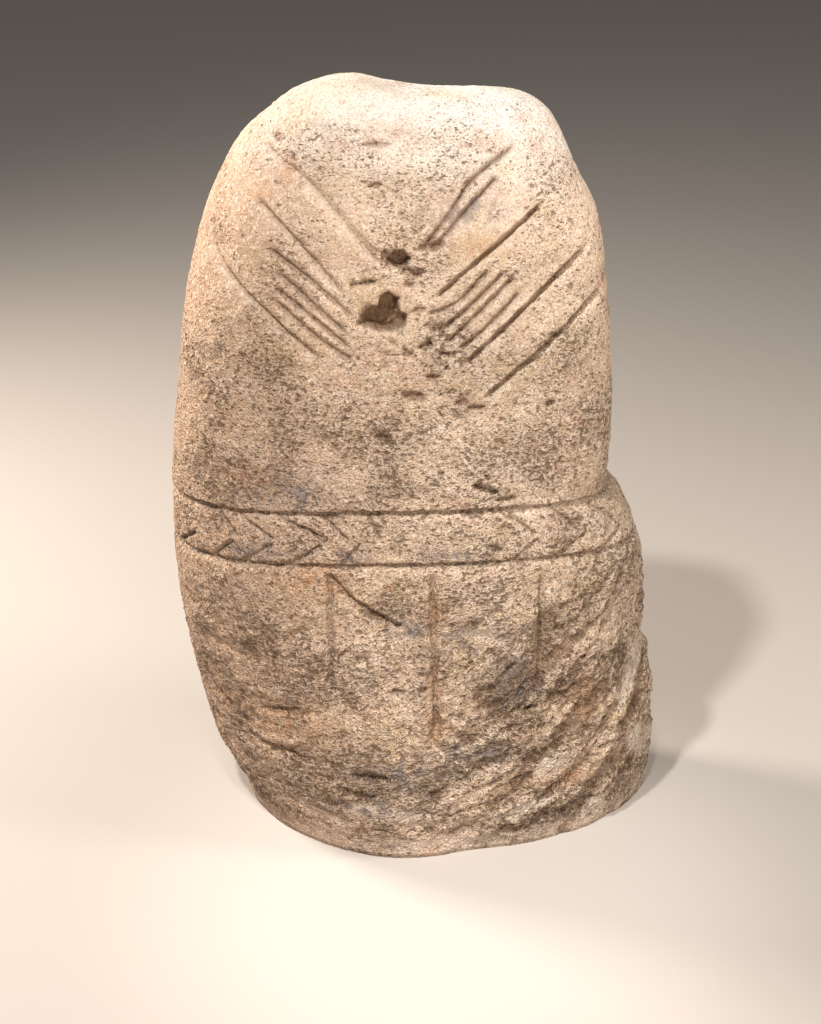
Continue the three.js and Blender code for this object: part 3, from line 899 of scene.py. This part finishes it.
sandstone = bpy.data.materials.new("sandstone")
sandstone.use_nodes = True
tree = sandstone.node_tree
shader = tree.nodes["Principled BSDF"]
where = add_node(tree, "ShaderNodeTexCoord").outputs["Object"]
aside, _, up = add_node(tree, "ShaderNodeSeparateXYZ", {0: where}).outputs


def weigh(value, amount):
    """A value made smaller or larger, by a number or by another value."""
    return calculate(tree, "MULTIPLY", value, amount)


def kept_value(name):
    """One of the numbers that the mesh keeps on its points."""
    return add_node(tree, "ShaderNodeAttribute", attribute_name=name).outputs["Fac"]


def placed(group, sockets):
    """The outputs of a group placed in the material; sockets are given by name."""
    node = add_node(tree, "ShaderNodeGroup", node_tree=group)
    for name, value in {"Vector": where, **sockets}.items():
        set_socket(tree, node.inputs[name], value)
    return node.outputs


dirt_and_shade_part, rubbed_and_lit_part = kept_value("held_dirt_and_shade"), kept_value("rubbed_and_lit")
in_hollow, bare_and_light_part, patch = kept_value("in_hollow"), kept_value("bare_and_painted_light"), kept_value("patches")
print(sandstone.name, "starts with", len(tree.nodes), "nodes")

# %% [markdown]
# Grain and pits on this stone. The grains are the same everywhere. The pits are not: there are
# more where the patches are rough and near the ground, fewer on bare stone and near the top.

# %% Grain and pits placed
FINE_GRAINS, COARSE_GRAINS = 560.0, 320.0
SMALL_PITS, LARGE_PITS = 260.0, 120.0
PITS_IN_PATCH, FEWER_PITS = 0.09, -0.045

fine_grain = placed(grain_group, {"Grains per Metre": FINE_GRAINS})
coarse_grain = placed(grain_group, {"Grains per Metre": COARSE_GRAINS})
pitted = calculate(tree, "MULTIPLY_ADD", patch, PITS_IN_PATCH, FEWER_PITS)
calm = fade(tree, up, 0.68, 0.93)
spared = calculate(tree, "ADD", weigh(bare_and_light_part, 0.1), weigh(calm, 0.045))
pitted = calculate(tree, "SUBTRACT", pitted, spared)
lowness = fade(tree, up, 0.75, 0.2)
pitted = calculate(tree, "ADD", pitted, weigh(lowness, 0.015))
small_pits = placed(pit_group, {"Pits per Metre": SMALL_PITS, "More": pitted})["Pit"]
large_pits = placed(pit_group, {"Pits per Metre": LARGE_PITS, "More": pitted})["Pit"]
print("grain and pits:", len(tree.nodes), "nodes")

# %% [markdown]
# The colour. Buff and pale sand in clouds of a hand's breadth, a little darker towards the bottom,
# paler where the stone is bare and as painted light at the foot and the crown, whiter at the top as
# painted glare, a touch of rose and of yellow, browner on the left, partly stain and partly painted
# shade, a little browner low down, and grains lighter and darker than that. Each step lays one thing
# over the last, as weather did.

# %% Sandstone colour
broad = cloud(tree, where, 6.0, 5.0, 0.6)
hand_wide = cloud(tree, where, 34.0, 4.0, 0.6)
clouds = weigh(calculate(tree, "ADD", broad, hand_wide), 0.5)
clouds = calculate(tree, "SUBTRACT", clouds, weigh(lowness, 0.02))
colour = blend(tree, fade(tree, clouds, 0.38, 0.6), BUFF, PALE)
# bare stone is paler; at the foot and the crown this paleness is painted light
colour = blend(tree, weigh(bare_and_light_part, 0.6), colour, QUARTZ)
# painted glare: the top of the stone is made whiter
crown_glare = fade(tree, up, 0.92, 1.08)
colour = blend(tree, weigh(crown_glare, 0.6), colour, GLARE_WHITE)
rose = fade(tree, cloud(tree, where, 21.0), 0.5, 0.72)
colour = blend(tree, weigh(rose, 0.5), colour, ROSE)
yellow = fade(tree, cloud(tree, where, 15.0), 0.48, 0.3)
colour = blend(tree, weigh(yellow, 0.4), colour, YELLOW)
leftness = fade(tree, aside, 0.1, -0.34)
# browner on the left, partly stain and partly painted shade, and a little browner low down
browned_and_shaded = calculate(tree, "ADD", weigh(lowness, 0.1), weigh(leftness, 0.75))
colour = blend(tree, browned_and_shaded, colour, BROWN_AND_SHADE)
light_grain = fade(tree, coarse_grain["Tone"], 0.56, 0.72)
colour = blend(tree, weigh(light_grain, 0.42), colour, QUARTZ)
dark_grain = fade(tree, fine_grain["Tone"], 0.44, 0.3)
colour = blend(tree, weigh(dark_grain, 0.5), colour, DARK_GRAIN)
print("colour so far:", len(tree.nodes), "nodes")

# %% [markdown]
# The dirt and the painted shade. Dust and lichen settle where rain doesn't reach, and shade falls in
# the same places: the pits, hollows of the skin and the carved lines are darkened, partly as dirt and
# partly as painted shade. Where a line's lip was rubbed smooth there are no pits and less dirt, and
# the lip gets a painted highlight.

# %% Dirt and painted shade
left_rough = calculate(tree, "SUBTRACT", 1.0, weigh(rubbed_and_lit_part, 0.75))
pits = weigh(calculate(tree, "MAXIMUM", small_pits, large_pits), left_rough)
# painted highlight: the rubbed lower lip of each line is made paler
colour = blend(tree, weigh(rubbed_and_lit_part, 0.25), colour, QUARTZ)
# pits darkened, partly as dirt and partly as painted shade
colour = blend(tree, weigh(pits, 0.72), colour, DIRT_AND_SHADE_COLOUR)
# the hollows of the skin darkened, partly as dirt and partly as painted shade
deep = fade(tree, in_hollow, 0.6, 1.0)
colour = blend(tree, weigh(deep, 0.5), colour, DIRT_AND_SHADE_COLOUR)
# dirt and painted shade in the carved lines and the deep holes
colour = blend(tree, weigh(dirt_and_shade_part, 0.8), colour, DIRT_AND_SHADE_COLOUR)
print("with dirt:", len(tree.nodes), "nodes")

# %% [markdown]
# The stains. A fine grey mottle lies over the lower half, and the stains kept on the mesh are
# broken up by the same small clouds, so that no stain has an edge. Last comes a touch of red along
# the foot, partly red earth and partly painted light thrown up from red ground.

# %% Mottle, stains, and earth with painted ground light
small_clouds = cloud(tree, where, 60.0, 4.0, 0.65)
mottle = weigh(fade(tree, small_clouds, 0.55, 0.67), calculate(tree, "ADD", 0.1, weigh(lowness, 0.35)))
colour = blend(tree, mottle, colour, VIOLET_GREY)
patchy = fade(tree, small_clouds, 0.36, 0.6)
grey = weigh(kept_value("grey_stain"), patchy)
colour = blend(tree, weigh(grey, 0.7), colour, VIOLET_GREY)
rust = weigh(kept_value("rust_stain"), patchy)
colour = blend(tree, weigh(rust, 0.55), colour, RUST)
# red along the foot: partly red earth, partly painted light thrown up from red ground
edge_noise = weigh(cloud(tree, where, 18.0), 0.05)
earth_and_ground_light = fade(tree, calculate(tree, "ADD", up, edge_noise), 0.075, 0.03)
colour = blend(tree, weigh(earth_and_ground_light, 0.15), colour, EARTH_AND_GROUND_LIGHT)
print("with stains:", len(tree.nodes), "nodes")

# %% [markdown]
# Thin beds and slits. The mesh has the beds that are a centimetre or more thick. The finer ones
# are noise too, in the same direction, stretched thin by giving the direction across the beds a
# much larger scale than the two along them. A slit is where that noise crosses its middle value,
# and it holds dirt and shade, so it goes into the colour, as dirt and painted shade, as well as into
# the bump below.

# %% Thin beds and slits
THIN_BEDS, ALONG_THIN_BEDS = 150.0, 9.0
SLITS, ALONG_SLITS = 40.0, 15.0

across_beds = add_node(
    tree, "ShaderNodeVectorMath", {0: where, 1: tuple(BED_FACE)}, operation="DOT_PRODUCT"
).outputs["Value"]
warp = weigh(cloud(tree, where, 12.0), 0.012)
level_in_beds = calculate(tree, "ADD", across_beds, warp)


def place_in_beds(scale_across, scale_along):
    """The point's place as the beds see it: across them, then along them."""
    sockets = {0: weigh(level_in_beds, scale_across)}
    sockets[1] = weigh(aside, scale_along)
    sockets[2] = weigh(up, scale_along)
    return add_node(tree, "ShaderNodeCombineXYZ", sockets).outputs[0]


bed_stripes = cloud(tree, place_in_beds(THIN_BEDS, ALONG_THIN_BEDS), 1.0, 2.0, 0.5)
fine_beds = weigh(weigh(fade(tree, bed_stripes, 0.42, 0.58), fade(tree, up, 0.48, 0.3)), patch)
slit_noise = cloud(tree, place_in_beds(SLITS, ALONG_SLITS), 1.0, 3.0, 0.5)
off_slit = calculate(tree, "ABSOLUTE", calculate(tree, "SUBTRACT", slit_noise, 0.5))
slits = weigh(fade(tree, off_slit, 0.05, 0.012), fade(tree, up, 0.46, 0.3))
slits = weigh(slits, fade(tree, cloud(tree, where, 26.0), 0.5, 0.6))
# slits darkened, partly as dirt and partly as painted shade
colour = blend(tree, weigh(slits, 0.6), colour, DIRT_AND_SHADE_COLOUR)
set_socket(tree, shader.inputs["Base Color"], colour)
print("with slits:", len(tree.nodes), "nodes")

# %% [markdown]
# The bump. What is too fine for the mesh, from pits of half a centimetre down to the grain, is
# added up as a height in metres, so that a bump distance of one metre gives true slopes. It is
# stronger in rough patches and near the ground, weaker at the top and where a line was rubbed.

# %% Sandstone bump and roughness
RELIEF = [
    (coarse_grain["Height"], 1.6 * MM), (cloud(tree, where, 200.0, 3.0), 3.8 * MM),
    (cloud(tree, where, 90.0, 2.0), 4.5 * MM), (small_pits, -1.4 * MM),
    (large_pits, -3 * MM), (fine_beds, 2.4 * MM), (slits, -3 * MM),
]
relief = weigh(fine_grain["Height"], 0.9 * MM)
for part, rise in RELIEF:
    relief = calculate(tree, "ADD", relief, weigh(part, rise))
strength = calculate(tree, "MULTIPLY_ADD", patch, 0.7, 1.5)
strength = weigh(strength, calculate(tree, "SUBTRACT", 1.0, weigh(calm, 0.6)))
strength = weigh(strength, left_rough)
strength = weigh(strength, calculate(tree, "ADD", 1.0, weigh(lowness, 0.55)))
relief = weigh(relief, strength)
bump = add_node(tree, "ShaderNodeBump", {"Height": relief, "Distance": 1.0, "Strength": 1.0})
set_socket(tree, shader.inputs["Normal"], bump.outputs["Normal"])
matt = calculate(tree, "MULTIPLY_ADD", fine_grain["Tone"], 0.16, 0.8)
set_socket(tree, shader.inputs["Roughness"], matt)
shader.inputs["Specular IOR Level"].default_value = 0.3
menhir.data.materials.append(sandstone)
print("sandstone:", len(tree.nodes), "nodes")

# %% [markdown]
# The floor is a plain pale plane, far larger than the picture. It is only a stage for the stone,
# so it isn't part of what is exported.

# %% Floor
FLOOR_REACH = 20
FLOOR_COLOUR = (0.44, 0.405, 0.37, 1)

floor_mesh = bpy.data.meshes.new("floor")
signs = (-1, -1), (1, -1), (1, 1), (-1, 1)
corners = [(x * FLOOR_REACH, y * FLOOR_REACH, 0) for x, y in signs]
floor_mesh.from_pydata(corners, [], [(0, 1, 2, 3)])
floor = bpy.data.objects.new("floor", floor_mesh)
bpy.context.scene.collection.objects.link(floor)
plaster = bpy.data.materials.new("floor_plaster")
plaster.use_nodes = True
plaster_shader = plaster.node_tree.nodes["Principled BSDF"]
plaster_shader.inputs["Base Color"].default_value = FLOOR_COLOUR
plaster_shader.inputs["Roughness"].default_value = 0.85
floor_mesh.materials.append(plaster)
print("floor of", 2 * FLOOR_REACH, "m laid")

# %% [markdown]
# The light. Carving shows when light rakes over it, so the main light stands steep above the upper
# left and in front. Large soft lights on both sides and a low one keep the shade from going black,
# and a narrow soft beam on the foot makes up for the main light's distance. Each row holds a
# name, a place, a target, a size, the watts and a colour.

# %% Panels of light
LIGHTS = [
    ("key", (-1.0, -1.75, 3.75), (0, -0.05, 0.5), 0.24, 137, (1, 0.97, 0.95)),
    ("left", (-2.3, 1.0, 1.8), (0, 0, 0.6), 0.8, 125, (1, 0.88, 0.76)),
    ("right", (2.2, -0.5, 1.8), (0, 0, 0.35), 0.8, 38, (1, 0.91, 0.83)),
    ("low", (0.8, -2.4, 0.4), (0.1, 0, 0.12), 0.8, 30, (1, 0.87, 0.76)),
]


def put_light(data, place, target, watts, tint):
    """A light object at a place, turned to a target."""
    data.energy = watts
    data.color = tint
    light = bpy.data.objects.new(data.name, data)
    light.location = place
    light.rotation_euler = (Vector(target) - Vector(place)).to_track_quat("-Z", "Y").to_euler()
    bpy.context.scene.collection.objects.link(light)


for name, place, target, size, watts, tint in LIGHTS:
    panel = bpy.data.lights.new(name, "AREA")
    panel.shape = "DISK"
    panel.size = size
    put_light(panel, place, target, watts, tint)
print(len(LIGHTS), "panels of light")

# %% Beam and sky
BEAM_PLACE = (-0.2, -1.9, 3.0)
BEAM_TARGET = (0.07, -0.2, -0.1)
BEAM_ANGLE = math.radians(19)
BEAM_SOFTNESS = 0.12
BEAM_WATTS = 340
BEAM_TINT = (1, 0.95, 0.91)
SKY_COLOUR = (0.82, 0.78, 0.75, 1)
SKY_STRENGTH = 0.2

beam = bpy.data.lights.new("beam", "SPOT")
beam.spot_size = BEAM_ANGLE
beam.spot_blend = 1.0
beam.shadow_soft_size = BEAM_SOFTNESS
put_light(beam, BEAM_PLACE, BEAM_TARGET, BEAM_WATTS, BEAM_TINT)
world = bpy.data.worlds.new("studio")
world.use_nodes = True
background = world.node_tree.nodes["Background"].inputs
background["Color"].default_value = SKY_COLOUR
background["Strength"].default_value = SKY_STRENGTH
bpy.context.scene.world = world
bpy.context.scene.view_settings.view_transform = "Standard"
print("beam of", BEAM_WATTS, "watts, sky at", SKY_STRENGTH)
